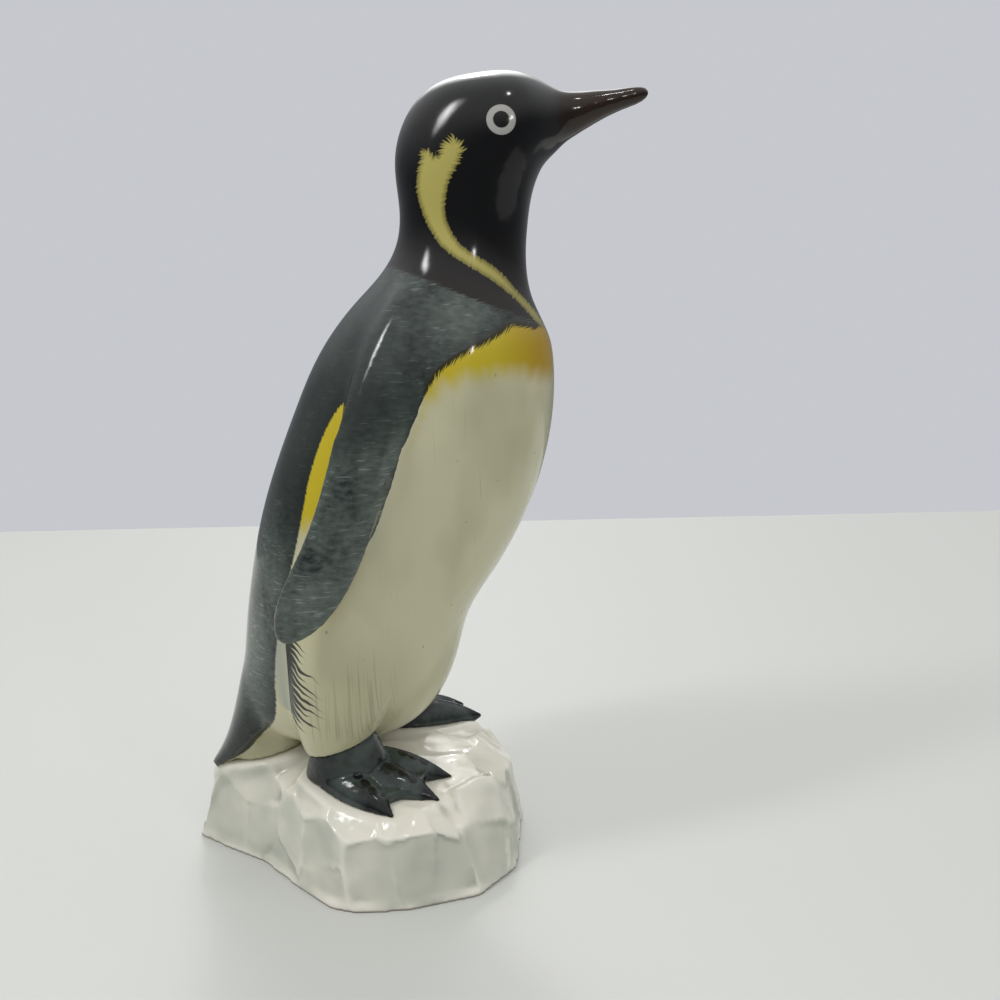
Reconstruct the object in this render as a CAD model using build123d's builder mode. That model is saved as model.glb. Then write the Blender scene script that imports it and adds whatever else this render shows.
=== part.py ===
from build123d import *
from math import atan2, cos, radians, sin, tan
import os

# Glazed porcelain penguin standing on a block of ice, in millimetres.
# The bird faces -Y, its left side is +X, and the ice stands on Z = 0.
# Heights of the bird are measured from the ridge of the ice.

# The ice
base_height = 27.0        # table to the ridge, at the middle of the ice
right_slope = 9.5         # degrees that the top falls from the ridge towards the bird's right
left_slope = 3.0          # and towards its left
ridge_slope = 5.0         # degrees that the ridge falls towards the front
rear_slope = 14.0         # degrees that it falls towards the tail
rear_break = 12.0         # Y where the ridge turns down towards the tail
front_slope = 25.0        # degrees that the top falls at the front end
front_break = -34.0       # Y where the front end starts
ice_taper = 9.0           # degrees that the walls lean in
gully_depth = 9.0         # of the gullies at the edge of the ice
gully_length = 18.0       # from the mouth inward, up to where the bed leaves the ice
vent_diameter = 3.5       # hole that lets the air out in the kiln
vent_y = -12.0

# The casts
wall = 4.0                      # thickness of the hollow casts
collar_front = (-50.0, 109.5)   # Y and height where neck and body are joined, at the front
collar_back = (-13.0, 125.0)    # the same at the back
bill_length = 21.0              # face to tip of the beak

# The legs
left_step = 9.5           # the left leg stands this much further forward
heel_y = 10.5             # Y of the right heel
right_heel_out = 12.0     # heel to the middle of the bird
right_turn = 21.0         # degrees that the middle toe points outward
left_heel_out = 10.5
left_turn = 38.0
toe_root = 5.0            # heel to the root of the toes
toe_root_radius = 4.6
toe_tip_radius = 3.3
toe_rounding = 1.8        # length of the rounded end of a toe
claw_length = 4.2
claw_radius = 2.5
claw_point_radius = 0.35
web_thickness = 2.8
web_setback = 0.5         # the web ends this far behind the roots of the claws
web_notch_depth = 0.8     # how far the web's edge curves in between two toes
sole_trim = 1.0           # the feet and the tail are cast this much longer, and trimmed to the ice
instep = 12.0             # heel to the middle of the instep
instep_half_width = 7.8
instep_half_length = 12.0
ankle_tilt = 18.0         # degrees that the lower edge of the thigh rises towards the front
ankle_step = 0.8          # the ankle is this much thinner all round than the thigh over it

# The web that carries the tail
tail_web_half_width = 8.5  # on the ice
tail_web_front = 12.0
tail_web_rear = 33.0
tail_web_lean = 2.5        # the web is drawn in this much all round where it enters the tail

# Outline of the ice on the table, from the tail round by the bird's right side
ice_outline = [
    (-1, 44.5), (-9, 34), (-16, 23.5), (-29, 12), (-38, 3), (-40.5, -4), (-39.5, -16.5),
    (-34, -33), (-21, -42.5), (9, -44.5), (29, -36), (38.5, -12), (36, 9), (20, 29),
]

# Flats broken off the ice: azimuth from -Y towards +X, degrees that the flat faces upward,
# and its distance from the middle of the ice at mid height
ice_flats = [
    (-93, 64, 47.5), (-128, 30, 37.5), (-160, 38, 42), (-66, 62, 48.5), (-38, 28, 42), (-5, 45, 46),
    (28, 30, 43), (58, 40, 42.5), (92, 34, 41), (126, 38, 38.5), (163, 40, 42.5),
]

# Gullies washed into the ice: azimuth of the gully, distance of its mouth from the middle, height and
# half width there, and degrees that its bed falls outward
ice_gullies = [
    (-74, 39.5, 15.5, 9, 38), (-47, 43, 12, 8, 40), (-139, 27.5, 13.5, 10, 42), (-106, 39.5, 11.5, 8, 46),
    (-10, 44, 12, 10, 38), (38, 43.5, 13, 10, 40), (76, 40.5, 14, 9, 38), (116, 38, 13.5, 9, 40),
    (152, 38, 12, 8, 40),
]

# Rings of the body and head from the seat to the face: Y and height at the front,
# Y and height at the back, half width
body_rings = [
    ((-8, 3.2), (20, 4.5), 9),
    ((-16.5, 7), (26.5, 8), 17),
    ((-22.8, 13.4), (29.8, 15), 22),
    ((-27.9, 24.5), (28.4, 24.5), 25.5),
    ((-31.5, 36.5), (26.6, 36.5), 28),
    ((-38.7, 48), (24.6, 48), 30),
    ((-46.5, 62), (21.4, 62), 31.5),
    ((-51.8, 77), (16.3, 77), 32.3),
    ((-54.2, 92), (10, 92), 31.5),
    ((-53.3, 106.5), (1.6, 107.5), 28.5),
    ((-51.6, 110.5), (-5, 115.5), 25.3),
    ((-50.2, 113.5), (-11.8, 122.6), 22),
    ((-49, 116.5), (-15.8, 129.3), 19.4),
    ((-48.2, 120), (-17, 137.6), 17.7),
    ((-47.8, 124), (-16.3, 148.7), 17.2),
    ((-47.8, 128.5), (-19.2, 159), 17.6),
    ((-48.3, 134), (-26, 166.2), 18.4),
    ((-49.5, 141), (-35.8, 168.9), 18.4),
    ((-52.6, 148), (-46, 169.1), 14.8),
    ((-55.2, 150.5), (-51.4, 167.2), 10.3),
    ((-57.6, 152.6), (-56, 165), 6.6),
]
hollow_rings = body_rings[2:-3]   # the casts are hollow between the seat and the face

# Rings of the beak: share of its length, height of its underside, height of its top, half width
bill_rings = [
    (0.35, 156.6, 164.6, 4.3),
    (0.7, 160, 165, 2.9),
    (0.92, 161.7, 165.3, 1.8),
    (1, 162.9, 164.5, 0.7),
]

# Rings of a thigh: height, distance from the middle, Y, half width, half depth
thigh_rings = [
    (58, 15, -4, 13.6, 9),
    (48, 16.6, -3, 12.9, 11.5),
    (38, 17.4, -2, 12.5, 14),
    (27, 18.2, -0.7, 12, 14.5),
    (17, 18.6, 0.5, 11.4, 12.5),
    (7.5, 17.4, 1.2, 9, 9.4),
]

# Sections of a flipper from shoulder to tip: distance from the middle, Y, height,
# half width of the blade, half thickness
flipper_sections = [
    (12, -25, 121, 7, 5),
    (21.5, -21.5, 111, 8.8, 5.6),
    (27, -17, 101.5, 8.8, 5.4),
    (30.8, -12.4, 91, 7.7, 4.5),
    (33.4, -7.8, 77, 7, 4),
    (34.4, -2.9, 63, 7, 3.5),
    (34.4, 3, 51.5, 6.8, 3),
    (33.8, 8.7, 43, 4.8, 2.2),
    (33.2, 11.5, 39, 1.5, 1),
]

# Sections of the tail from root to tip: distance from the middle, Y, height, half width, half thickness
tail_sections = [
    (0, 14, 26, 16, 14),
    (0, 23, 13.5, 14, 8.5),
    (0, 31, 1.8, 8.5, 4),
    (0, 38.2, -6.2, 3, 1.6),
]

# Toes from the inner to the outer one: degrees outward from the middle toe, heel to tip of the claw
toes = [(-16, 37), (0, 36.5), (21, 31.5)]


def at_height(height):
    return base_height + height


def ridge_height(y):
    return base_height + y * tan(radians(ridge_slope))


def oval(plane, half_width, half_depth):
    with BuildSketch(plane) as outline:
        with BuildLine():
            for quarter in (-90, 0, 90, 180):
                EllipticalCenterArc((0, 0), half_width, half_depth, quarter, arc_size=90)
        make_face()
    return outline.sketch.face()


def gully(azimuth, reach, height, half_width, fall, margin=0.0):
    # V-shaped cut along its bed, with a margin of ice taken from both of its sides
    outward = Vector(sin(radians(azimuth)), -cos(radians(azimuth)), 0)
    downhill = outward * cos(radians(fall)) - Vector(0, 0, sin(radians(fall)))
    mouth = outward * reach + Vector(0, 0, height)
    bed = -margin / sin(atan2(half_width, gully_depth))
    with BuildPart() as cut:
        with BuildSketch(Plane(mouth, x_dir=Vector(0, 0, 1).cross(outward), z_dir=downhill)):
            with BuildLine():
                spread = half_width * (gully_depth - bed) / gully_depth
                Polyline((0, bed), (spread, gully_depth), (-spread, gully_depth), close=True)
            make_face()
        extrude(amount=gully_length, both=True)
    return cut.part


def ring_plane(front, back):
    run = Vector(0, back[0] - front[0], back[1] - front[1])
    middle = ((front[0] + back[0]) / 2, at_height((front[1] + back[1]) / 2))
    return Plane(origin=(0, *middle), x_dir=(1, 0, 0), z_dir=Vector(1, 0, 0).cross(run))


def ring_loft(rings, inset=0.0):
    sections = []
    for front, back, half_width in rings:
        half_reach = (Vector(*back) - Vector(*front)).length / 2
        sections.append(oval(ring_plane(front, back), half_width - inset, half_reach - inset))
    with BuildPart() as skin:
        loft(sections)
    return skin.part


def limb(sections, across):
    # Blade or tail along the middles of its sections; across gives the direction of their width
    middles = [Vector(-out, y, at_height(height)) for out, y, height, _, _ in sections]
    ovals = []
    for index, (_, _, _, half_width, half_thickness) in enumerate(sections):
        run = middles[min(index + 1, len(middles) - 1)] - middles[max(index - 1, 0)]
        ovals.append(oval(Plane(middles[index], x_dir=across(run), z_dir=run), half_width, half_thickness))
    with BuildPart() as blade:
        loft(ovals)
    return blade.part


def thigh(step):
    # The leg swings forward from the hip, so its rings take a growing share of the step
    ovals = []
    for index, (height, out, y, half_width, half_depth) in enumerate(thigh_rings):
        share = index / (len(thigh_rings) - 1)
        ring = Plane((-out, y - step * share, at_height(height)))
        ovals.append(oval(ring.rotated((-ankle_tilt * share ** 3, 0, 0)), half_width, half_depth))
    with BuildPart() as leg:
        loft(ovals)
    return leg.part


def toe_point(angle, distance):
    return Vector(distance * sin(radians(angle)), distance * cos(radians(angle)))


def foot(heel_out, turn, step, roof_slope):
    # A foot of the right side, on a plane whose X points outward and Y forward along the ice
    fall = tan(radians(roof_slope))
    heel = Vector(-heel_out, heel_y - step, ridge_height(heel_y - step) - heel_out * fall)
    ice = Plane(heel, x_dir=(-1, 0, -fall), z_dir=(-fall, -tan(radians(ridge_slope)), 1))
    sole = ice.offset(-sole_trim)
    spread = [(turn + fan, length) for fan, length in toes]
    corners = [toe_point(angle, length - claw_length - web_setback) for angle, length in spread]
    with BuildPart() as webbed_foot:
        with BuildSketch(sole):
            with BuildLine():
                Line((0, 0), corners[0])
                for first, second in zip(corners, corners[1:]):
                    middle = (first + second) / 2
                    ThreePointArc(first, middle - middle.normalized() * web_notch_depth, second)
                Line(corners[-1], (0, 0))
            make_face()
        extrude(amount=sole_trim + web_thickness)
        for angle, length in spread:
            forward = (ice.from_local_coords(toe_point(angle, 1)) - heel).normalized()
            knuckle = length - claw_length
            toe = [(toe_root, toe_root_radius), (knuckle - toe_rounding, toe_tip_radius), (knuckle, claw_radius)]
            claw = [(knuckle, claw_radius), (length, claw_point_radius)]
            for stretch in (toe, claw):
                loft([
                    oval(Plane(heel + forward * distance, x_dir=ice.z_dir, z_dir=forward), radius, radius)
                    for distance, radius in stretch
                ])
        height, out, y, half_width, half_depth = thigh_rings[-1]
        ankle = Plane((-out, y - step, at_height(height))).rotated((-ankle_tilt, 0, 0))
        arch = Plane(sole.from_local_coords(toe_point(turn, instep)), x_dir=ice.x_dir, z_dir=ice.z_dir)
        loft([
            oval(arch, instep_half_width, instep_half_length),
            oval(ankle, half_width - ankle_step, half_depth - ankle_step),
        ])
    return webbed_foot.part


# Body, head and beak are one flowing form, which is cut at the collar and at the face
collar = ring_plane(collar_front, collar_back)
face_front, face_back, _ = body_rings[-1]
face = ring_plane(face_front, face_back)
face_y = face.origin.Y
beak_rings = [
    ((face_y - share * bill_length, bottom), (face_y - share * bill_length, top), half_width)
    for share, bottom, top, half_width in bill_rings
]
bird = ring_loft(body_rings + beak_rings)
hollow = ring_loft(hollow_rings, wall)

# The ice is cast hollow over a floor, inside its lowest edge and a wall away from the gullies
with BuildPart() as ice_hollow:
    half_span = max(abs(x) for x, _ in ice_outline)
    hollow_top = base_height - half_span * tan(radians(max(right_slope, left_slope))) - wall
    with BuildSketch(Plane.XY.offset(wall)):
        with BuildLine():
            Polyline(*ice_outline, close=True)
        make_face()
        offset(
            amount=-wall - hollow_top * tan(radians(ice_taper)), kind=Kind.INTERSECTION, mode=Mode.REPLACE
        )
    extrude(amount=hollow_top - wall)
    for place in ice_gullies:
        add(gully(*place, wall), mode=Mode.SUBTRACT)

with BuildPart() as ice_base:
    ice_top = ridge_height(rear_break)
    for height in (0, ice_top):
        with BuildSketch(Plane.XY.offset(height)):
            with BuildLine():
                Polyline(*ice_outline, close=True)
            make_face()
            if height:
                offset(amount=-height * tan(radians(ice_taper)), kind=Kind.INTERSECTION, mode=Mode.REPLACE)
    loft(ruled=True)
    for fall in (-right_slope, left_slope):
        roof = Plane((0, 0, base_height), z_dir=(tan(radians(fall)), -tan(radians(ridge_slope)), 1))
        split(bisect_by=roof, keep=Keep.BOTTOM)
    for end, fall in ((rear_break, rear_slope), (front_break, -front_slope)):
        slope_end = Plane((0, end, ridge_height(end)), z_dir=(0, tan(radians(fall)), 1))
        split(bisect_by=slope_end, keep=Keep.BOTTOM)
    for azimuth, rise, reach in ice_flats:
        outward = Vector(sin(radians(azimuth)), -cos(radians(azimuth)), 0)
        normal = outward * cos(radians(rise)) + Vector(0, 0, sin(radians(rise)))
        split(bisect_by=Plane(outward * reach + Vector(0, 0, base_height / 2), z_dir=normal), keep=Keep.BOTTOM)
    for place in ice_gullies:
        add(gully(*place), mode=Mode.SUBTRACT)
    add(ice_hollow.part, mode=Mode.SUBTRACT)
    with Locations((0, vent_y, wall / 2)):
        Cylinder(vent_diameter / 2, wall, mode=Mode.SUBTRACT)
ice_base.part.label = "ice_base"

with BuildPart() as torso:
    add(bird)
    split(bisect_by=collar, keep=Keep.BOTTOM)
    add(thigh(0))
    add(mirror(thigh(left_step), about=Plane.YZ, mode=Mode.PRIVATE))
    add(hollow, mode=Mode.SUBTRACT)
torso.part.label = "torso"

with BuildPart() as head:
    add(bird)
    split(bisect_by=collar, keep=Keep.TOP)
    split(bisect_by=face, keep=Keep.BOTTOM)
    add(hollow, mode=Mode.SUBTRACT)
head.part.label = "head"

with BuildPart() as beak:
    add(bird)
    split(bisect_by=face, keep=Keep.TOP)
beak.part.label = "beak"

with BuildPart() as tail:
    add(limb(tail_sections, lambda run: Vector(1, 0, 0)))
    web_length = tail_web_rear - tail_web_front
    web_drop = (tail_web_rear - rear_break) * tan(radians(rear_slope))
    web_foot = ridge_height(rear_break) - web_drop - sole_trim
    web_top = tail_sections[1][2]
    web_middle = tail_web_front + web_length / 2
    loft([
        oval(Plane((0, web_middle, height)), tail_web_half_width - lean, web_length / 2 - lean)
        for height, lean in ((web_foot, 0), (at_height(web_top), tail_web_lean))
    ])
    add(bird, mode=Mode.SUBTRACT)
    add(torso.part, mode=Mode.SUBTRACT)
    add(ice_base.part, mode=Mode.SUBTRACT)
tail.part.label = "tail"

with BuildPart() as flipper_right:
    add(limb(flipper_sections, lambda run: run.cross(Vector(1, 0, 0))))
    add(bird, mode=Mode.SUBTRACT)
flipper_right.part.label = "flipper_right"

with BuildPart() as flipper_left:
    mirror(flipper_right.part, about=Plane.YZ)
flipper_left.part.label = "flipper_left"

with BuildPart() as foot_right:
    add(foot(right_heel_out, right_turn, 0, right_slope))
    add(torso.part, mode=Mode.SUBTRACT)
    add(ice_base.part, mode=Mode.SUBTRACT)
foot_right.part.label = "foot_right"

with BuildPart() as foot_left:
    mirror(foot(left_heel_out, left_turn, left_step, left_slope), about=Plane.YZ)
    add(torso.part, mode=Mode.SUBTRACT)
    add(ice_base.part, mode=Mode.SUBTRACT)
foot_left.part.label = "foot_left"

os.makedirs("parts", exist_ok=True)
for piece in (ice_base, torso, head, beak, tail, flipper_right, flipper_left, foot_right, foot_left):
    export_step(piece.part, f"parts/{piece.part.label}.step")
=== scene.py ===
import math
import random

import bmesh
import bpy
import numpy as np
from mathutils import Matrix, Vector, noise
from mathutils.bvhtree import BVHTree


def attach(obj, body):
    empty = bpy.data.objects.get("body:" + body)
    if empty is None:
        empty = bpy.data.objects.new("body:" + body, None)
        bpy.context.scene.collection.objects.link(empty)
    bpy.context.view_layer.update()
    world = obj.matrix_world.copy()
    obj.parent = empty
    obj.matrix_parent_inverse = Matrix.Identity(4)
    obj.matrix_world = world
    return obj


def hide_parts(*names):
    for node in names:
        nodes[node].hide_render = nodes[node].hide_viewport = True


# Painted and glazed porcelain penguin on a block of ice.
# The bird faces -Y, its left side is +X, and the table is at Z = 0.
# Sizes in the dictionaries are millimetres, and mm turns them into Blender's metres.
mm = 0.001

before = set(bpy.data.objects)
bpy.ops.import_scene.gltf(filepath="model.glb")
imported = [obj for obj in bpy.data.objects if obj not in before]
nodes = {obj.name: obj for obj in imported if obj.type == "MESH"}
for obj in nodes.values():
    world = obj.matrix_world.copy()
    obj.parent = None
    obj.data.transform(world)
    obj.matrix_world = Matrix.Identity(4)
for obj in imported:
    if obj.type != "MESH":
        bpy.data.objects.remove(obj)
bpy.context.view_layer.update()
print("frame loaded:", len(nodes), "nodes")


def linear(hexColour):
    # sRGB hex value to linear RGBA
    channels = [int(hexColour[place:place + 2], 16) / 255 for place in (1, 3, 5)]
    return [c / 12.92 if c <= 0.04045 else ((c + 0.055) / 1.055) ** 2.4 for c in channels] + [1.0]


def addNode(tree, kind, settings={}, links={}):
    node = tree.nodes.new("ShaderNode" + kind)
    for key, value in settings.items():
        if isinstance(key, int) or key in node.inputs:
            node.inputs[key].default_value = value
        else:
            setattr(node, key, value)
    for key, socket in links.items():
        tree.links.new(socket, node.inputs[key])
    return node


def makePiece(name, bm):
    mesh = bpy.data.meshes.new(name)
    bm.to_mesh(mesh)
    bm.free()
    piece = bpy.data.objects.new(name, mesh)
    bpy.context.scene.collection.objects.link(piece)
    return piece


def joinedCopy(nodeNames):
    # a CAD node is loose triangles, so its copy is merged before anything else
    bm = bmesh.new()
    for name in nodeNames:
        bm.from_mesh(nodes[name].data)
    bmesh.ops.remove_doubles(bm, verts=bm.verts, dist=0.002 * mm)
    return bm


def voxelSkin(piece, voxel):
    remesh = piece.modifiers.new("skin", "REMESH")
    remesh.mode = "VOXEL"
    remesh.voxel_size = voxel * mm
    skin = bpy.data.meshes.new_from_object(piece.evaluated_get(bpy.context.evaluated_depsgraph_get()))
    piece.modifiers.clear()
    piece.data = skin


def islands(bm):
    # groups of vertices that hang together
    unseen = set(bm.verts)
    groups = []
    while unseen:
        start = unseen.pop()
        group, front = [start], [start]
        while front:
            vert = front.pop()
            for edge in vert.link_edges:
                other = edge.other_vert(vert)
                if other in unseen:
                    unseen.remove(other)
                    group.append(other)
                    front.append(other)
        groups.append(group)
    return sorted(groups, key=len)


def relax(bm, verts, turns):
    # softens these vertices, halfway towards their neighbours each time
    for _ in range(turns):
        bmesh.ops.smooth_vert(
            bm, verts=verts, factor=0.5, use_axis_x=True, use_axis_y=True, use_axis_z=True
        )


def softSkin(name, nodeNames, voxel, turns):
    # outer skin of a cast, with the edges softened as a coat of glaze does
    piece = makePiece(name, joinedCopy(nodeNames))
    voxelSkin(piece, voxel)
    bm = bmesh.new()
    bm.from_mesh(piece.data)
    for shell in islands(bm)[:-1]:
        bmesh.ops.delete(bm, geom=shell, context="VERTS")
    relax(bm, bm.verts, turns)
    return piece, bm


def finishPiece(piece, nodeName, material):
    piece.data.materials.clear()
    piece.data.materials.append(material)
    piece.data.shade_smooth()
    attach(piece, "root")
    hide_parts(nodeName)


def meshPoints(mesh):
    # vertex places in millimetres and their normals
    points = np.empty(len(mesh.vertices) * 3, np.float32)
    normals = np.empty(len(mesh.vertices) * 3, np.float32)
    mesh.vertices.foreach_get("co", points)
    mesh.vertex_normals.foreach_get("vector", normals)
    return points.reshape(-1, 3) / mm, normals.reshape(-1, 3)


def setAttribute(mesh, name, values):
    layer = mesh.attributes.new(name, "FLOAT", "POINT")
    layer.data.foreach_set("value", np.ascontiguousarray(values, np.float32))


def evenOut(mesh, values, turns):
    # draws each point's value towards the values of the points beside it
    ends = np.empty(len(mesh.edges) * 2, np.int32)
    mesh.edges.foreach_get("vertices", ends)
    first, second = ends.reshape(-1, 2).T
    beside = np.bincount(ends, minlength=len(values))
    for _ in range(turns):
        total = np.zeros_like(values)
        np.add.at(total, first, values[second])
        np.add.at(total, second, values[first])
        values = (values + (total.T / beside).T) / 2
    return values


def ramp(values, low, high):
    share = np.clip((values - low) / (high - low), 0, 1)
    return share * share * (3 - 2 * share)


def roundedOutline(points, steps=6):
    # smooth closed line through a few points (Catmull-Rom)
    points = np.array(points, float)
    line = []
    for before, start, end, after in zip(
        np.roll(points, 1, 0), points, np.roll(points, -1, 0), np.roll(points, -2, 0)
    ):
        for step in range(steps):
            t = step / steps
            line.append(0.5 * (
                2 * start + (end - before) * t + (2 * before - 5 * start + 4 * end - after) * t ** 2
                + (3 * start - before - 3 * end + after) * t ** 3
            ))
    return np.array(line)


def paintedArea(places, outline):
    # how deep each place lies inside an outline (minus outside), and how far along its edge
    gap = np.full(len(places), 1e6)
    along = np.zeros(len(places))
    inside = np.zeros(len(places), bool)
    run = 0.0
    for start, end in zip(outline, np.roll(outline, -1, 0)):
        step = end - start
        length = np.linalg.norm(step)
        share = np.clip((places - start) @ step / length ** 2, 0, 1)
        reach = np.linalg.norm(places - start - share[:, None] * step, axis=1)
        nearer = reach < gap
        gap[nearer] = reach[nearer]
        along[nearer] = run + share[nearer] * length
        crosses = (start[1] > places[:, 1]) != (end[1] > places[:, 1])
        if start[1] != end[1]:
            cut = start[0] + (places[:, 1] - start[1]) * step[0] / step[1]
            inside ^= crosses & (places[:, 0] < cut)
        run += length
    return np.where(inside, gap, -gap), along


# Skin of the bird: the casts are luted together and share one coat of glaze
birdSkin = {
    "slots": {
        "torso": "plumage_glaze", "head": "head_glaze", "beak": "beak_glaze", "tail": "plumage_glaze",
        "flipper_right": "flipper_glaze", "flipper_left": "flipper_glaze",
    },
    "voxel": 0.7,
    "turns": 4,          # softening all over
    "seamRings": 5,      # rows of faces on each side of a seam that are softened more
    "seamTurns": 4,      # rounds of softening for each row, most at the seam itself
    "shoulder": 117,     # above this height the flippers flow into the body
    "shoulderRings": 16,
    "shoulderTurns": 8,
    "lip": 1.2,          # depth of the lip inside the skin where a cast ends
    "shareTurns": 4,     # rounds that even out the edge of the flippers' paint
}

# Painted areas, drawn from the side: Y and Z
birdPaint = {
    "earPatch": [
        (-24, 177), (-22.5, 171), (-22.4, 167.5), (-23.7, 162.7), (-25.3, 159.2), (-27.5, 155.8),
        (-30.5, 153.1), (-34, 150.8), (-38.2, 148.2), (-41.2, 146), (-44.3, 143.4), (-47.2, 140.4),
        (-49.8, 137.4), (-52.8, 135), (-50.6, 138.8), (-48.3, 141.6), (-44.6, 145.6), (-42, 148.7),
        (-39, 151.2), (-35.3, 153.5), (-32.2, 155.8), (-30, 159.2), (-28.9, 163), (-29.3, 167),
        (-30.3, 170.3), (-32.7, 174.4), (-33.6, 177), (-31.6, 179.5), (-28.6, 178), (-27.5, 175.2),
        (-26, 176.5),
    ],
    "hood": [
        (-66, 131), (-50, 137), (-43.6, 140), (-37.2, 142.4), (-29.5, 145.6), (-26, 147.2), (-16, 150.8),
        (-6, 153), (10, 160), (10, 220), (-100, 220), (-100, 131),
    ],
    "back": [
        (-51, 138), (-44, 137.9), (-38.7, 135), (-34.1, 133), (-30.1, 130.7), (-26.4, 128),
        (-23.7, 124.8), (-18, 119), (-11, 118), (-6, 121.5), (-0.4, 114.8), (3.9, 104.5), (6.2, 95.4),
        (8.4, 86.5), (12, 74), (15.1, 61.5), (16.5, 51.2), (16.6, 46.4), (18.3, 39.5), (25.2, 30.7),
        (28.8, 26.8), (37.8, 20.7), (46, 14), (80, 30), (80, 175), (-20, 175), (-48, 152),
    ],
    "breast": [
        (-70, 124), (-44.2, 126.6), (-37.3, 126.2), (-29.9, 125), (-23.6, 120.3), (-16, 108), (-6, 97),
        (4, 92), (16, 90), (30, 100), (20, 160), (-70, 160),
    ],
    "fanSpine": 12.6,             # Y where the leg's dark feather strokes start
    "fanFall": 2.6,               # they drop steeply at first and then sweep forward
    "fanMiddle": 57,              # height of the middle stroke
    "fanHalfHeight": 13,
    "fanReach": 11.5,             # length of the longest stroke
    "face": ((-57.6, 179.6), (-56, 192)),   # where the beak starts
    "flipperRoot": 110,           # above this height the flippers are dark all round
    "shoulder": (98, 122),        # heights over which the flippers take on the back's dark slate
    "breastFade": 30,             # the yellow of the breast ends at the flippers
    "creaseDepth": 16,            # how far the crease behind a flipper is kept out of the slate
    "creaseTurn": (0.1, 0.4),     # how much the skin there turns to the rear
    "deepest": 8,                 # the depth inside the slate counts up to here
    "flipperTurn": 0.35,          # the slate reaches this far around the flippers' edges
    "flipperSharp": 40,
    "fanOut": 12,                 # the strokes keep this far from the middle of the bird
    "fanTip": 0.04,
}


def skinFaces(bm, names):
    # each face of the skin goes to the cast that lies under it
    guide = bmesh.new()
    owner = []
    for name in names:
        guide.from_mesh(nodes[name].data)
        owner += [name] * (len(guide.faces) - len(owner))
    tree = BVHTree.FromBMesh(guide)
    guide.free()
    cast = [owner[tree.find_nearest(face.calc_center_median())[2]] for face in bm.faces]
    bm.faces.index_update()
    for _ in range(6):   # single faces that stick out of a seam go to their neighbours
        settled = list(cast)
        for face in bm.faces:
            beside = [
                cast[other.index] for edge in face.edges for other in edge.link_faces if other != face
            ]
            common = max(sorted(set(beside)), key=beside.count)
            if beside.count(common) > len(beside) / 2:
                settled[face.index] = common
        cast = settled
    return cast


def softenSeams(bm, cast):
    seam, shoulder = set(), set()
    for edge in bm.edges:
        casts = {cast[face.index] for face in edge.link_faces}
        if len(casts) > 1:
            seam.update(edge.verts)
            if casts & {"flipper_right", "flipper_left"}:
                shoulder.update(vert for vert in edge.verts if vert.co.z > birdSkin["shoulder"] * mm)
    for verts, part in ((shoulder, "shoulder"), (seam, "seam")):
        for _ in range(birdSkin[part + "Rings"]):
            verts |= {edge.other_vert(vert) for vert in verts for edge in vert.link_edges}
            relax(bm, sorted(verts, key=lambda vert: vert.index), birdSkin[part + "Turns"])


def paintBird(mesh, flipperShare):
    points, normals = meshPoints(mesh)
    side = points[:, 1:]
    outward = normals[:, 0] * np.sign(points[:, 0])
    low, high = birdPaint["shoulder"]
    for name in ("earPatch", "hood", "back", "breast"):
        depth, along = paintedArea(side, roundedOutline(birdPaint[name]))
        if name == "back":
            # the flippers are dark outside and pale on the side that faces the body
            most = birdPaint["deepest"]
            turned = birdPaint["flipperSharp"] * (outward + birdPaint["flipperTurn"])
            turned[side[:, 1] > birdPaint["flipperRoot"]] = most
            turned = np.clip(turned, -most, most)
            depth = np.clip(depth, -most, most) * (1 - flipperShare) + turned * flipperShare
            # the crease behind them stays pale as well
            crease = 4 * flipperShare * (1 - flipperShare) * ramp(normals[:, 1], *birdPaint["creaseTurn"])
            crease *= 1 - ramp(side[:, 1], low, birdPaint["flipperRoot"])
            depth -= birdPaint["creaseDepth"] * crease
        if name == "breast":
            depth = depth - birdPaint["breastFade"] * ramp(flipperShare, 0, 1)
        setAttribute(mesh, name + "Edge", depth)
        setAttribute(mesh, name + "Along", along)
    rim = ramp(flipperShare, 0.5, 1) * (1 - ramp(np.abs(outward), 0.1, 0.6))
    setAttribute(mesh, "rim", rim * (1 - ramp(side[:, 1], low, high)))
    setAttribute(mesh, "flipper", flipperShare * (1 - ramp(side[:, 1], low, high)))
    drop = birdPaint["fanSpine"] - side[:, 0]
    along = side[:, 1] + birdPaint["fanFall"] * np.sqrt(np.clip(drop, 0, None))
    bow = 1 - ((along - birdPaint["fanMiddle"]) / birdPaint["fanHalfHeight"]) ** 2
    tip = birdPaint["fanTip"]
    onLeg = (np.abs(points[:, 0]) > birdPaint["fanOut"]) & (flipperShare < 0.3) & (bow > tip)
    setAttribute(mesh, "fanAlong", along)
    across = drop / (birdPaint["fanReach"] * np.sqrt(np.clip(bow, tip, 1)))
    setAttribute(mesh, "fanAcross", np.where(onLeg, across, np.where(drop > 0, 5, -1)))
    (lowY, lowZ), (highY, highZ) = birdPaint["face"]
    faceRun = np.array([highY - lowY, highZ - lowZ]) / math.hypot(highY - lowY, highZ - lowZ)
    setAttribute(mesh, "beakEdge", (side[:, 1] - lowZ) * faceRun[0] - (side[:, 0] - lowY) * faceRun[1])


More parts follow.
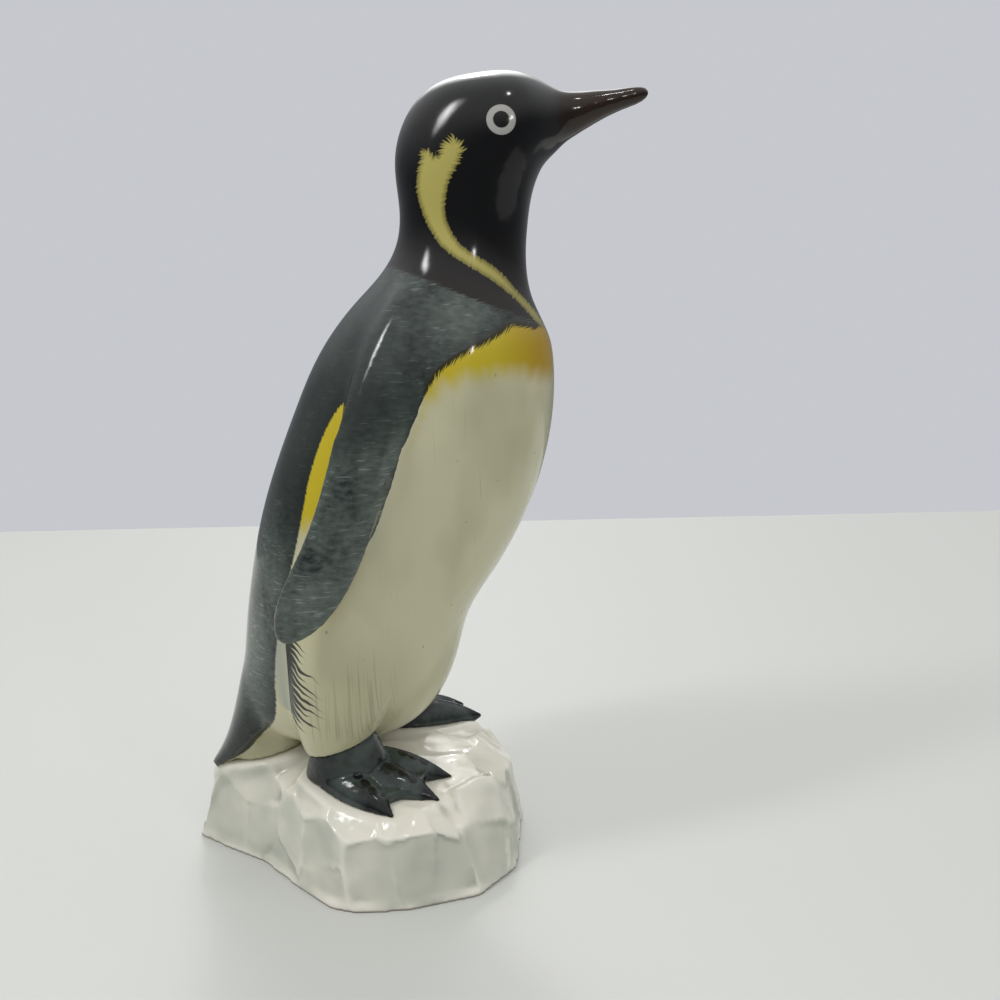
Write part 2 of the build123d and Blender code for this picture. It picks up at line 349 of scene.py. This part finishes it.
def splitSkin(skin, cast, material):
    # one closed piece for each cast, with the normals of the whole skin so that no seam shows
    whole = bmesh.new()
    whole.from_mesh(skin.data)
    whole.normal_update()
    skinNormal = whole.verts.layers.float_vector.new("skinNormal")
    for vert in whole.verts:
        vert[skinNormal] = vert.normal
    for name, slotName in birdSkin["slots"].items():
        bm = whole.copy()
        bm.faces.ensure_lookup_table()
        others = [face for face in bm.faces if cast[face.index] != name]
        bmesh.ops.delete(bm, geom=others, context="FACES")
        for shell in islands(bm)[:-1]:
            bmesh.ops.delete(bm, geom=shell, context="VERTS")
        rims = [edge for edge in bm.edges if edge.is_boundary]
        for vert in bmesh.ops.extrude_edge_only(bm, edges=rims)["geom"]:
            if isinstance(vert, bmesh.types.BMVert):
                vert.co -= vert[bm.verts.layers.float_vector["skinNormal"]] * birdSkin["lip"] * mm
        rims = [edge for edge in bm.edges if edge.is_boundary]
        caps = bmesh.ops.holes_fill(bm, edges=rims, sides=0)["faces"]
        bmesh.ops.triangulate(bm, faces=caps)
        openEdges = sum(1 for edge in bm.edges if not edge.is_manifold)
        piece = makePiece(name + "Glazed", bm)
        normals = np.empty(len(piece.data.vertices) * 3, np.float32)
        piece.data.attributes["skinNormal"].data.foreach_get("vector", normals)
        finishPiece(piece, name, material)
        piece.data.normals_split_custom_set_from_vertices(normals.reshape(-1, 3))
        print(name, "skin:", len(piece.data.polygons), "faces, open edges", openEdges)
    whole.free()
    bpy.data.objects.remove(skin)


def buildBird(material):
    names = list(birdSkin["slots"])
    skin, bm = softSkin("birdSkin", names, birdSkin["voxel"], 0)
    cast = skinFaces(bm, names)
    relax(bm, bm.verts, birdSkin["turns"])
    softenSeams(bm, cast)
    flipperVerts = {
        vert.index for face in bm.faces if cast[face.index].startswith("flipper") for vert in face.verts
    }
    bm.to_mesh(skin.data)
    bm.free()
    share = np.zeros(len(skin.data.vertices))
    share[sorted(flipperVerts)] = 1
    paintBird(skin.data, evenOut(skin.data, share, birdSkin["shareTurns"]))
    splitSkin(skin, cast, material)


# Feet
feet = {
    "voxel": 0.45,
    "turns": 3,
    "heelY": 10.5,
    "toeFans": ((-16, 37), (0, 36.5), (21, 31.5)),   # degrees from the middle toe, heel to claw tip
    "clawLength": 4.8,
    "spotsFromTip": (7.4, 10, 12.8),
    "spotRadius": 1.25,
    "paleHeel": 6,           # the paint is thin this far around the heel
    "instep": (10.5, 5),     # it lies thickest this far from the heel, with half the width of that band
    "sides": {
        "foot_right": {"mirror": -1, "heelOut": 12, "turn": 21, "step": 0},
        "foot_left": {"mirror": 1, "heelOut": 10.5, "turn": 38, "step": 9.5},
    },
}


def buildFoot(name, material):
    stance = feet["sides"][name]
    piece, bm = softSkin(name + "Glazed", [name], feet["voxel"], feet["turns"])
    bm.to_mesh(piece.data)
    bm.free()
    points, normals = meshPoints(piece.data)
    ground = points[:, :2]
    heel = np.array([stance["mirror"] * stance["heelOut"], feet["heelY"] - stance["step"]])
    claw = np.full(len(points), 1e6)
    spot = np.full(len(points), 1e6)
    for fan, length in feet["toeFans"]:
        angle = math.radians(stance["turn"] + fan)
        forward = np.array([stance["mirror"] * math.sin(angle), -math.cos(angle)])
        claw = np.minimum(claw, np.linalg.norm(ground - heel - length * forward, axis=1))
        for back in feet["spotsFromTip"]:
            spot = np.minimum(spot, np.linalg.norm(ground - heel - (length - back) * forward, axis=1))
    setAttribute(piece.data, "claw", feet["clawLength"] - claw)
    setAttribute(piece.data, "spot", np.where(normals[:, 2] > 0.2, spot, 1e3))
    setAttribute(piece.data, "heelGap", np.linalg.norm(ground - heel, axis=1))
    finishPiece(piece, name, material)
    print(name, "skin:", len(piece.data.polygons), "faces")


# Ice
iceBlock = {
    "voxel": 0.7,
    "turns": 2,              # softening before and after the facets are broken
    "facetSize": 11,        # least distance between the middles of two broken facets
    "facetFlatness": 0.85,   # share by which a facet is drawn to its plane
    "facetStep": 1.1,        # facets lie up to this much deeper than their neighbours
    "facetEdge": 7,          # how much a turn of the surface counts in splitting facets
    "facetPlaces": [
        (-39, -8, 9), (-38, -18.5, 10), (-35, -27.5, 9), (-29, -37, 9), (-33, 7, 13), (-34, 4, 3),
        (-24, 16, 12), (-14, 25, 9), (-8, 33, 8), (-33, -4, 21), (-33, -14, 20), (-28, -25, 20),
        (-20, -34, 20),
    ],
    "swell": 0.45,           # height of the soft waves in the glaze
    "swellSize": 6,
    "poolTurns": 26,         # rounds that even out the skin to tell ridges from hollows
    "clear": (1, 5),         # nothing is broken off this close to the feet and the tail
    "ridgeStart": 0.16,      # height over or under the evened skin from which a ridge or pool shows
    "bareFoot": 0.5,         # height of the unglazed rim
    "seed": 11,
}


def iceFacets(points, normals, free):
    # splits the outer skin into broken facets: the index of its facet for each point
    draw = random.Random(iceBlock["seed"])
    middles = []
    for place in iceBlock["facetPlaces"]:
        gap = np.linalg.norm(points - place, axis=1) + 100 * (free < 0.01)
        middles.append(int(np.argmin(gap)))
    for index in draw.sample(range(len(points)), len(points)):
        spaced = np.linalg.norm(points[middles] - points[index], axis=1).min() > iceBlock["facetSize"]
        if spaced and free[index] > 0.3:
            middles.append(index)
    reach = np.full(len(points), 1e6)
    facet = np.zeros(len(points), int)
    for number, middle in enumerate(middles):
        turn = 1 - normals @ normals[middle]
        gap = np.linalg.norm(points - points[middle], axis=1) + iceBlock["facetEdge"] * turn
        nearer = gap < reach
        reach[nearer] = gap[nearer]
        facet[nearer] = number
    return facet, len(middles)


def buildIce(material):
    piece, bm = softSkin("iceBlockGlazed", ["ice_base"], iceBlock["voxel"], iceBlock["turns"])
    bm.normal_update()
    guide = joinedCopy(["foot_right", "foot_left", "tail"])
    standing = BVHTree.FromBMesh(guide)
    guide.free()
    skin = BVHTree.FromBMesh(bm)
    points = np.array([vert.co for vert in bm.verts]) / mm
    normals = np.array([vert.normal for vert in bm.verts])
    near, far = iceBlock["clear"]
    free = np.zeros(len(points))
    for index, vert in enumerate(bm.verts):
        # only skin with open air over it is broken, not the hollow and the underside
        start = vert.co + (vert.normal + Vector((0, 0, 1))) * 0.3 * mm
        if skin.ray_cast(start, Vector((0, 0, 1)))[0] is None:
            gap = standing.find_nearest(vert.co)[3] / mm
            free[index] = ramp(gap, near, far) * ramp(vert.co.z / mm, 0.5, 3)
    facet, count = iceFacets(points, normals, free)
    draw = random.Random(iceBlock["seed"])
    moved = points.copy()
    for number in range(count):
        inside = (facet == number) & (free > 0)
        if not inside.any():
            continue
        facing = normals[inside].mean(axis=0)
        facing /= np.linalg.norm(facing)
        height = (points[inside] - points[inside].mean(axis=0)) @ facing * iceBlock["facetFlatness"]
        height += draw.uniform(0, iceBlock["facetStep"])
        moved[inside] -= (height * free[inside])[:, None] * facing
    for vert, place, normal, share in zip(bm.verts, moved, normals, free):
        wave = noise.noise(Vector(place / iceBlock["swellSize"])) * iceBlock["swell"] * share
        vert.co = Vector(place + normal * wave) * mm
    ground = [vert for vert in bm.verts if vert.co.z < 0.2 * mm]
    relax(bm, bm.verts, iceBlock["turns"])
    for vert in ground:
        vert.co.z = 0
    bm.to_mesh(piece.data)
    bm.free()
    points, normals = meshPoints(piece.data)
    standing = points - evenOut(piece.data, points, iceBlock["poolTurns"])
    setAttribute(piece.data, "ridge", (standing * normals).sum(axis=1))
    finishPiece(piece, "ice_base", material)
    print("ice skin:", len(piece.data.polygons), "faces,", count, "facets")


# Paints and glaze. Porcelain that is painted under a clear glaze keeps its colours deep
# and takes mirror-like, slightly wavy reflections.
glaze = {
    "ior": 1.45,
    "roughness": 0.12,
    "birdWave": (4.5, 0.09),      # mm between the soft waves of the glaze, and their height
    "footWave": (2.8, 0.4),
    "iceWave": (3.6, 0.3),
}
paints = {
    "cream": "#d3cfad", "creamShade": "#b4b18d", "hairline": "#7f7a66",
    "yellow": "#cdb82c", "orange": "#b8951f",
    "slate": "#505a53", "slateDeep": "#1e2421", "slateStroke": "#98a29c", "slateRim": "#8d9595",
    "black": "#080809", "brownBlack": "#1f1711",
    "earYellow": "#bdb263", "earShade": "#8f8644", "eyeWhite": "#b4b2ac", "beak": "#2a1c10",
    "footSlate": "#3f4945", "footDark": "#0a0c0c", "footHeel": "#5c6561",
    "ice": "#e9e5d6", "iceShade": "#bfc2b3", "iceRidgeAndHighlight": "#efece0", "icePoolAndShade": "#a5a99a",
    "bisque": "#8f8170",
}
plumage = {
    "leg": (29, -4, 48),           # middle of the thigh's painted shade
    "legReach": 15,
    "breastTurn": (-40, -50),      # Y over which the yellow of the breast deepens
    "borderRise": (112, 123),      # heights over which the back's edge takes a black border
    "strokeGap": 0.9,              # half the distance between two strokes of the fan
    "darkAbove": (70, 104),        # heights over which the slate of the back gets darker
    "darkBelow": (55, 36),
    "paleFront": (-6, -30),        # Y over which it stays pale towards the front
    "hoodTurn": (141, 158),        # heights over which the hood goes from brown to black
    "earCrest": (170, 176),        # the ear patch is more jagged above
    "eye": (18.5, -42.3, 182.9),
    "eyeRings": (("eyeWhite", 3.4), ("black", 1.9)),   # paint and radius
}


def glazeMaterial(name, wave):
    material = bpy.data.materials.new(name)
    material.use_nodes = True
    tree = material.node_tree
    tree.nodes.clear()
    shader = addNode(tree, "BsdfPrincipled", {"IOR": glaze["ior"], "Roughness": glaze["roughness"]})
    addNode(tree, "OutputMaterial", {}, {"Surface": shader.outputs[0]})
    coords = addNode(tree, "TexCoord")
    scaled = addNode(
        tree, "VectorMath", {"operation": "SCALE", "Scale": 1 / mm}, {0: coords.outputs["Object"]}
    )
    size, height = glaze[wave]
    swell = addNode(tree, "TexNoise", {"Scale": 1 / size, "Detail": 1}, {"Vector": scaled.outputs[0]})
    bump = addNode(tree, "Bump", {"Strength": 0.6, "Distance": height * mm}, {"Height": swell.outputs[0]})
    tree.links.new(bump.outputs[0], shader.inputs["Normal"])
    return material, tree, shader, scaled.outputs[0]


def streaks(tree, place, size, detail=2.0):
    # noise drawn out to strokes: size is their length along each axis in mm
    drawn = addNode(tree, "Mapping", {"Scale": [1 / length for length in size]}, {"Vector": place})
    strokes = addNode(tree, "TexNoise", {"Scale": 1.0, "Detail": detail}, {"Vector": drawn.outputs[0]})
    return strokes.outputs[0]


def attribute(tree, name):
    return addNode(tree, "Attribute", {"attribute_name": name}).outputs["Fac"]


def paintOver(tree, below, paint, edge, soft, strength=1.0):
    # lays a paint over the ones below where the edge distance is above zero
    mask = addNode(
        tree, "MapRange",
        {"interpolation_type": "SMOOTHSTEP", "From Min": -soft, "From Max": soft, "To Max": strength},
        {"Value": edge},
    )
    layer = addNode(tree, "Mix", {"data_type": "RGBA"}, {0: mask.outputs[0], 6: below})
    if isinstance(paint, str):
        layer.inputs[7].default_value = linear(paints[paint])
    else:
        tree.links.new(paint, layer.inputs[7])
    return layer.outputs[2]


def blendPaints(tree, first, second, share, low, high):
    # from one paint to the other as share goes from low to high
    level = addNode(tree, "MapRange", {"From Min": low, "From Max": high}, {"Value": share})
    mix = addNode(
        tree, "Mix", {"data_type": "RGBA", 6: linear(paints[first]), 7: linear(paints[second])},
        {0: level.outputs[0]},
    )
    return mix.outputs[2]


def brushEdge(tree, name, width, length, lean=0.0, grow=None):
    # an edge drawn with a pointed brush: strokes of this width reach this far past the line
    edge = attribute(tree, name + "Edge")
    leaning = addNode(
        tree, "Math", {"operation": "MULTIPLY_ADD", 1: lean}, {0: edge, 2: attribute(tree, name + "Along")}
    )
    strokes = addNode(
        tree, "TexNoise", {"noise_dimensions": "1D", "Scale": 1 / width, "Detail": 1},
        {"W": leaning.outputs[0]},
    )
    reach = addNode(
        tree, "MapRange", {"From Min": 0.25, "From Max": 0.75, "To Min": -length, "To Max": length},
        {"Value": strokes.outputs[0]},
    )
    grown = addNode(tree, "Math", {"operation": "MULTIPLY", 1: 1.0}, {0: reach.outputs[0]})
    if grow:
        tree.links.new(grow, grown.inputs[1])
    return addNode(tree, "Math", {"operation": "ADD"}, {0: edge, 1: grown.outputs[0]}).outputs[0]


def plumageMaterial():
    # porcelain painted with slip colours under a clear glaze
    material, tree, shader, place = glazeMaterial("underglazePaintedPlumage", "birdWave")
    split = addNode(tree, "SeparateXYZ", {}, {0: place})
    outX = addNode(tree, "Math", {"operation": "ABSOLUTE"}, {0: split.outputs[0]})
    both = addNode(
        tree, "CombineXYZ", {}, {0: outX.outputs[0], 1: split.outputs[1], 2: split.outputs[2]}
    ).outputs[0]

    # pale belly with soft greenish clouds and a few specks, thin hairlines down the leg, and a painted
    # shade darkening the thigh
    colour = blendPaints(tree, "cream", "creamShade", streaks(tree, both, (22, 22, 40)), 0.42, 0.75)
    speckle = streaks(tree, place, (1.5, 1.5, 1.5), 0)
    speck = addNode(tree, "Math", {"operation": "SUBTRACT", 1: 0.87}, {0: speckle})
    colour = paintOver(tree, colour, "hairline", speck.outputs[0], 0.03, 0.6)
    legGap = addNode(tree, "VectorMath", {"operation": "DISTANCE", 1: plumage["leg"]}, {0: both})
    # painted shade: the thigh is darkened around its middle, where less light falls on the leg
    legPaintedShade = addNode(
        tree, "Math", {"operation": "SUBTRACT", 0: plumage["legReach"]}, {1: legGap.outputs["Value"]}
    )
    colour = paintOver(tree, colour, "creamShade", legPaintedShade.outputs[0], 9.0, 0.7)
    legShare = addNode(
        tree, "MapRange", {"From Min": 17, "From Max": 7, "To Min": -0.8, "To Max": -0.56},
        {"Value": legGap.outputs["Value"]},
    )
    hairs = streaks(tree, both, (7, 0.6, 18), 1)
    legLine = addNode(tree, "Math", {"operation": "ADD"}, {0: hairs, 1: legShare.outputs[0]})
    colour = paintOver(tree, colour, "hairline", legLine.outputs[0], 0.12, 0.36)

    # yellow of the breast, deeper towards the front, under a jagged black edge
    breast = blendPaints(tree, "yellow", "orange", split.outputs[1], *plumage["breastTurn"])
    colour = paintOver(tree, colour, breast, brushEdge(tree, "breast", 3.0, 0.7), 3.2)
    start, end = plumage["borderRise"]
    upper = addNode(
        tree, "MapRange", {"From Min": start, "From Max": end, "To Min": -3, "To Max": 1.1},
        {"Value": split.outputs[2]},
    )
    border = addNode(
        tree, "Math", {"operation": "ADD"}, {0: brushEdge(tree, "back", 0.5, 0.7, 1.6), 1: upper.outputs[0]}
    )
    colour = paintOver(tree, colour, "footDark", border.outputs[0], 0.15, 0.95)

    # fan of dark feather strokes behind the leg, merged at its root, with a painted grey shadow behind it
    # in the crease between leg and back
    across = attribute(tree, "fanAcross")
    behind = addNode(tree, "Math", {"operation": "ADD", 1: 0.2}, {0: across})
    away = addNode(tree, "Math", {"operation": "ABSOLUTE"}, {0: behind.outputs[0]})
    creaseShadow = addNode(tree, "Math", {"operation": "SUBTRACT", 0: 0.25}, {1: away.outputs[0]})
    colour = paintOver(tree, colour, "slateStroke", creaseShadow.outputs[0], 0.3, 0.6)
    wander = streaks(tree, both, (4, 4, 4), 1)
    along = addNode(
        tree, "Math", {"operation": "MULTIPLY_ADD", 1: 2.4}, {0: wander, 2: attribute(tree, "fanAlong")}
    )
    comb = addNode(tree, "Math", {"operation": "PINGPONG", 1: plumage["strokeGap"]}, {0: along.outputs[0]})
    uneven = addNode(
        tree, "TexNoise", {"noise_dimensions": "1D", "Scale": 0.55, "Detail": 0}, {"W": along.outputs[0]}
    )
    length = addNode(
        tree, "MapRange", {"From Min": 0.3, "From Max": 0.7, "To Min": 0.6, "To Max": 1.1},
        {"Value": uneven.outputs[0]},
    )
    run = addNode(tree, "Math", {"operation": "DIVIDE"}, {0: across, 1: length.outputs[0]})
    left = addNode(tree, "Math", {"operation": "SUBTRACT", 0: 1.0, "use_clamp": True}, {1: run.outputs[0]})
    taper = addNode(tree, "Math", {"operation": "POWER", 1: 1.7}, {0: left.outputs[0]})
    thick = addNode(tree, "Math", {"operation": "MULTIPLY_ADD", 1: 1.25, 2: -0.08}, {0: taper.outputs[0]})
    stroke = addNode(tree, "Math", {"operation": "SUBTRACT"}, {0: thick.outputs[0], 1: comb.outputs[0]})
    started = addNode(tree, "Math", {"operation": "GREATER_THAN", 1: 0.0}, {0: across})
    within = addNode(tree, "Math", {"operation": "MULTIPLY_ADD", 1: 4.0, 2: -4.0}, {0: started.outputs[0]})
    fan = addNode(tree, "Math", {"operation": "ADD"}, {0: stroke.outputs[0], 1: within.outputs[0]})
    colour = paintOver(tree, colour, "slateDeep", fan.outputs[0], 0.1, 0.95)

    # slate of the back and the flippers: clouded, with sparse pale strokes, denser along its edges
    cloud = streaks(tree, both, (9, 9, 13), 5)
    slate = blendPaints(tree, "slateDeep", "slate", cloud, 0.34, 0.6)
    grains = streaks(tree, both, (2.2, 2.2, 1.1), 2)
    grain = addNode(tree, "Math", {"operation": "SUBTRACT", 1: 0.5}, {0: grains})
    slate = paintOver(tree, slate, "slateStroke", grain.outputs[0], 0.3, 0.22)
    dashes = streaks(tree, both, (4, 4, 0.5), 1)
    thin = addNode(tree, "Math", {"operation": "MULTIPLY_ADD", 1: 0.35}, {0: cloud, 2: dashes})
    dash = addNode(tree, "Math", {"operation": "SUBTRACT", 1: 0.86}, {0: thin.outputs[0]})
    slate = paintOver(tree, slate, "slateStroke", dash.outputs[0], 0.06, 0.45)
    start, end = plumage["darkAbove"]
    high = addNode(
        tree, "MapRange", {"From Min": start, "From Max": end, "To Min": -0.5, "To Max": 0.5},
        {"Value": split.outputs[2]},
    )
    start, end = plumage["darkBelow"]
    low = addNode(
        tree, "MapRange", {"From Min": start, "From Max": end, "To Min": -0.5, "To Max": 0.45},
        {"Value": split.outputs[2]},
    )
    far = addNode(tree, "Math", {"operation": "MAXIMUM"}, {0: high.outputs[0], 1: low.outputs[0]})
    flipper = attribute(tree, "flipper")
    body = addNode(tree, "Math", {"operation": "SUBTRACT"}, {0: far.outputs[0], 1: flipper})
    start, end = plumage["paleFront"]
    front = addNode(
        tree, "MapRange", {"From Min": start, "From Max": end, "To Min": 0.0, "To Max": 0.75},
        {"Value": split.outputs[1]},
    )
    rear = addNode(tree, "Math", {"operation": "SUBTRACT"}, {0: body.outputs[0], 1: front.outputs[0]})
    slate = paintOver(tree, slate, "slateDeep", rear.outputs[0], 0.5, 0.85)
    dense = addNode(
        tree, "MapRange", {"From Min": 0, "From Max": 4.5, "To Min": 0.5, "To Max": -0.5},
        {"Value": attribute(tree, "backEdge")},
    )
    slate = paintOver(tree, slate, "slateDeep", dense.outputs[0], 0.5, 0.5)
    rim = addNode(tree, "Math", {"operation": "SUBTRACT", 1: 0.6}, {0: attribute(tree, "rim")})
    slate = paintOver(tree, slate, "slateRim", rim.outputs[0], 0.3, 0.65)
    colour = paintOver(tree, colour, slate, brushEdge(tree, "back", 0.8, 0.14, 0.8), 0.25)

    # black hood, brownish towards the breast, with the ear patch, the eye and the beak
    warm = blendPaints(tree, "brownBlack", "black", split.outputs[2], *plumage["hoodTurn"])
    colour = paintOver(tree, colour, warm, brushEdge(tree, "hood", 0.6, 0.5, 2.0), 0.3)
    start, end = plumage["earCrest"]
    crest = addNode(
        tree, "MapRange", {"From Min": start, "From Max": end, "To Min": 0.35, "To Max": 1.4},
        {"Value": split.outputs[2]},
    )
    earPatch = brushEdge(tree, "earPatch", 0.6, 0.6, 0.4, crest.outputs[0])
    colour = paintOver(tree, colour, "earShade", earPatch, 0.18)
    inner = addNode(tree, "Math", {"operation": "SUBTRACT", 1: 0.7}, {0: earPatch})
    colour = paintOver(tree, colour, "earYellow", inner.outputs[0], 0.5)
    eyeGap = addNode(tree, "VectorMath", {"operation": "DISTANCE", 1: plumage["eye"]}, {0: both})
    for paint, radius in plumage["eyeRings"]:
        ring = addNode(tree, "Math", {"operation": "SUBTRACT", 0: radius}, {1: eyeGap.outputs["Value"]})
        colour = paintOver(tree, colour, paint, ring.outputs[0], 0.12)
    colour = paintOver(tree, colour, "beak", attribute(tree, "beakEdge"), 6.0)
    tree.links.new(colour, shader.inputs["Base Color"])
    return material


def footMaterial():
    # slate-black paint under the glaze, with black spots and claws
    material, tree, shader, place = glazeMaterial("underglazeSlateFeet", "footWave")
    colour = blendPaints(tree, "footSlate", "footDark", streaks(tree, place, (7, 7, 7), 3), 0.42, 0.7)
    heelGap = attribute(tree, "heelGap")
    heel = addNode(tree, "Math", {"operation": "SUBTRACT", 0: feet["paleHeel"]}, {1: heelGap})
    colour = paintOver(tree, colour, "footHeel", heel.outputs[0], 5.0, 0.55)
    middle, half = feet["instep"]
    around = addNode(tree, "Math", {"operation": "SUBTRACT", 1: middle}, {0: heelGap})
    apart = addNode(tree, "Math", {"operation": "ABSOLUTE"}, {0: around.outputs[0]})
    instep = addNode(tree, "Math", {"operation": "SUBTRACT", 0: half}, {1: apart.outputs[0]})
    colour = paintOver(tree, colour, "footDark", instep.outputs[0], 3.0, 0.75)
    spotGap = attribute(tree, "spot")
    spot = addNode(tree, "Math", {"operation": "SUBTRACT", 0: feet["spotRadius"]}, {1: spotGap})
    colour = paintOver(tree, colour, "footDark", spot.outputs[0], 0.25)
    colour = paintOver(tree, colour, "footDark", attribute(tree, "claw"), 1.2)
    tree.links.new(colour, shader.inputs["Base Color"])
    return material


def iceMaterial():
    # white porcelain under a thick clear glaze, bare where it stands on the table
    material, tree, shader, place = glazeMaterial("whiteGlazedIce", "iceWave")
    # painted light: faces turned up are painted lighter and the walls darker, as if lit from above, with
    # random mottling
    facing = addNode(tree, "SeparateXYZ", {}, {0: addNode(tree, "NewGeometry").outputs["Normal"]})
    paintedTopLightAndMottle = addNode(
        tree, "Math", {"operation": "MULTIPLY_ADD", 1: 0.5},
        {0: facing.outputs[2], 2: streaks(tree, place, (16, 16, 16), 2)},
    )
    colour = blendPaints(tree, "iceShade", "ice", paintedTopLightAndMottle.outputs[0], 0.45, 0.95)
    # the glaze runs thin and white over the ridges and pools greenish in the hollows; the whiter ridges are
    # also a painted highlight and the darker hollows also a painted shade
    fading = addNode(
        tree, "MapRange", {"From Min": 0.35, "From Max": 0.62, "To Min": 0.15, "To Max": 1.1},
        {"Value": streaks(tree, place, (13, 13, 13), 2)},
    )
    ridge = addNode(
        tree, "Math", {"operation": "MULTIPLY"}, {0: attribute(tree, "ridge"), 1: fading.outputs[0]}
    )
    start = iceBlock["ridgeStart"]
    thin = addNode(tree, "Math", {"operation": "SUBTRACT", 1: start}, {0: ridge.outputs[0]})
    colour = paintOver(tree, colour, "iceRidgeAndHighlight", thin.outputs[0], 0.16, 0.7)
    pooledGlazeAndShade = addNode(tree, "Math", {"operation": "SUBTRACT", 0: -start}, {1: ridge.outputs[0]})
    colour = paintOver(tree, colour, "icePoolAndShade", pooledGlazeAndShade.outputs[0], 0.18, 0.6)
    height = addNode(tree, "SeparateXYZ", {}, {0: place})
    foot = addNode(tree, "Math", {"operation": "SUBTRACT", 0: iceBlock["bareFoot"]}, {1: height.outputs[2]})
    colour = paintOver(tree, colour, "bisque", foot.outputs[0], 0.35, 0.8)
    tree.links.new(colour, shader.inputs["Base Color"])
    return material


# Table and light
studio = {
    "tableX": (-330, 390),    # near and far edge of the table
    "tableWidth": 1300,
    "tableColour": "#cccdc8",
    "wallColour": "#c6c8cd",
    "roomColour": "#77797c",
    "ceilingColour": "#e9eaec",
    "ceilingRise": (0.05, 0.75),   # upward share of a view's direction where the ceiling starts and is full
    "tableRoughness": 0.55,
    "lamps": [
        # place, width, length, watts
        ((-190, 330, 560), 150, 430, 3.6),
        ((-430, -330, 380), 70, 70, 0.6),
        ((-126, -184, 708), 55, 55, 0.6),
        ((760, 30, 860), 180, 180, 4.0),
        ((1000, 60, 900), 1100, 1100, 12.0),
    ],
    "aim": (0, -20, 100),
}


def buildStudio():
    bm = bmesh.new()
    near, far = studio["tableX"]
    spread = Matrix.Diagonal(((far - near) * mm, studio["tableWidth"] * mm, 1, 1))
    centre = Matrix.Translation(((near + far) / 2 * mm, 0, 0))
    bmesh.ops.create_grid(bm, x_segments=1, y_segments=1, size=0.5, matrix=centre @ spread)
    table = makePiece("tableTop", bm)
    material = bpy.data.materials.new("paleTable")
    material.use_nodes = True
    shader = material.node_tree.nodes["Principled BSDF"]
    shader.inputs["Base Color"].default_value = linear(studio["tableColour"])
    shader.inputs["Roughness"].default_value = studio["tableRoughness"]
    table.data.materials.append(material)
    for place, width, length, watts in studio["lamps"]:
        light = bpy.data.lights.new("softLamp", "AREA")
        light.shape = "ELLIPSE"
        light.size = width * mm
        light.size_y = length * mm
        light.energy = watts
        # the light fades towards the rim of the lamp, so its reflection has a soft edge
        light.use_nodes = True
        glow = light.node_tree
        glow.nodes.clear()
        spot = addNode(
            glow, "VectorMath", {"operation": "DISTANCE", 1: (0.5, 0.5, 0)},
            {0: addNode(glow, "NewGeometry").outputs["Parametric"]},
        )
        fade = addNode(
            glow, "MapRange",
            {"interpolation_type": "SMOOTHSTEP", "From Max": 0.5, "To Min": 1.0, "To Max": 0.0},
            {"Value": spot.outputs["Value"]},
        )
        lit = addNode(glow, "Emission", {}, {"Strength": fade.outputs[0]})
        addNode(glow, "OutputLight", {}, {"Surface": lit.outputs[0]})
        lamp = bpy.data.objects.new("softLamp", light)
        bpy.context.scene.collection.objects.link(lamp)
        lamp.location = Vector(place) * mm
        aim = Vector(studio["aim"]) * mm - lamp.location
        lamp.rotation_euler = aim.to_track_quat("-Z", "Y").to_euler()

    # the camera sees a pale wall, and the glaze a dim room under a bright ceiling
    world = bpy.data.worlds.new("studio")
    bpy.context.scene.world = world
    world.use_nodes = True
    tree = world.node_tree
    tree.nodes.clear()
    coords = addNode(tree, "TexCoord")
    split = addNode(tree, "SeparateXYZ", {}, {0: coords.outputs["Generated"]})
    start, full = studio["ceilingRise"]
    overhead = addNode(
        tree, "MapRange", {"interpolation_type": "SMOOTHSTEP", "From Min": start, "From Max": full},
        {"Value": split.outputs[2]},
    )
    room = addNode(
        tree, "Mix",
        {"data_type": "RGBA", 6: linear(studio["roomColour"]), 7: linear(studio["ceilingColour"])},
        {0: overhead.outputs[0]},
    )
    path = addNode(tree, "LightPath")
    mix = addNode(
        tree, "Mix", {"data_type": "RGBA", 7: linear(studio["wallColour"])},
        {0: path.outputs["Is Camera Ray"], 6: room.outputs[2]},
    )
    back = addNode(tree, "Background", {"Strength": 1.0}, {"Color": mix.outputs[2]})
    addNode(tree, "OutputWorld", {}, {"Surface": back.outputs[0]})


# Camera at the photograph's viewing angle
view = {
    "eye": (-270.3, -41.3, 146.1),
    "aim": (0, -40, 91.9),
    "roll": -1.27,             # degrees
    "lens": 38.41,
    "frameWidth": 36,
}


def buildCamera():
    camera = bpy.data.objects.new("camera", bpy.data.cameras.new("camera"))
    camera.data.lens = view["lens"]
    camera.data.sensor_width = view["frameWidth"]
    camera.data.clip_start = 0.01
    bpy.context.scene.collection.objects.link(camera)
    eye = Vector(view["eye"]) * mm
    turn = (Vector(view["aim"]) * mm - eye).to_track_quat("-Z", "Y").to_matrix().to_4x4()
    roll = Matrix.Rotation(math.radians(view["roll"]), 4, "Z")
    camera.matrix_world = Matrix.Translation(eye) @ turn @ roll
    bpy.context.scene.camera = camera


buildCamera()
buildStudio()
print("camera and studio set")
buildBird(plumageMaterial())
footPaint = footMaterial()
for footName in feet["sides"]:
    buildFoot(footName, footPaint)
buildIce(iceMaterial())

bpy.context.scene.view_settings.view_transform = "Standard"
